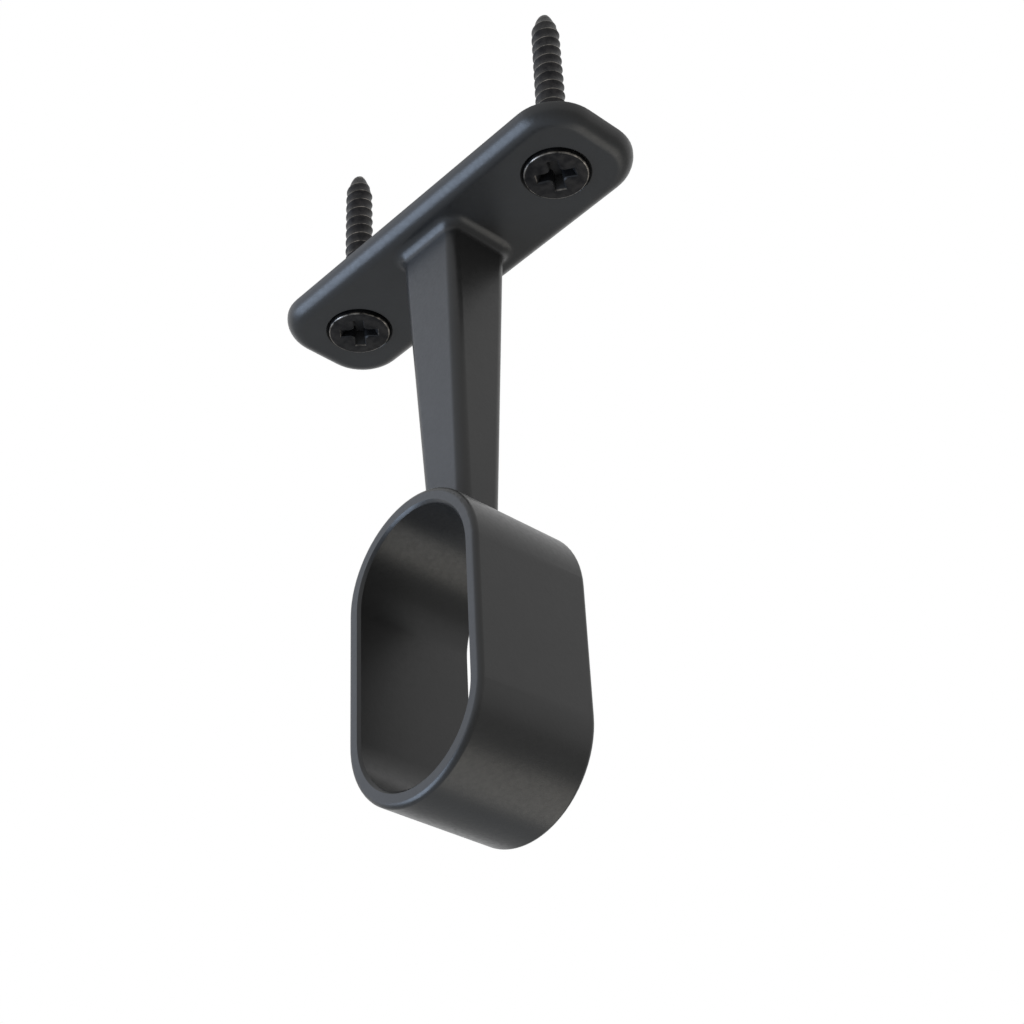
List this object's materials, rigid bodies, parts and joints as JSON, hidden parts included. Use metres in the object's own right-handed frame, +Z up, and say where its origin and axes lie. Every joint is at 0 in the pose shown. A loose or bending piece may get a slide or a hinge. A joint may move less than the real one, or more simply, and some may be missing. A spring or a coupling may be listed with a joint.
{
  "type": "wardrobe rail centre support",
  "caption": "Cast ceiling bracket for a wardrobe rail: a screw plate, a stem that tapers downwards and an oval collar that the rail passes through, with its countersunk wood screws.",
  "frame": {"origin": "centre of the ceiling plate's upper face, midway between the two screws", "axes": "+X along the rail, +Y along the plate from the front screw to the back screw, +Z up into the ceiling"},
  "size_m": [0.0154, 0.05, 0.098],
  "materials": {
    "bracket": "satin black paint on a zinc casting",
    "screws": "black phosphate on steel, slightly oily"
  },
  "bodies": {
    "root": {"support_bracket": "bracket", "front_screw": "screws", "back_screw": "screws"}
  },
  "joints": []
}
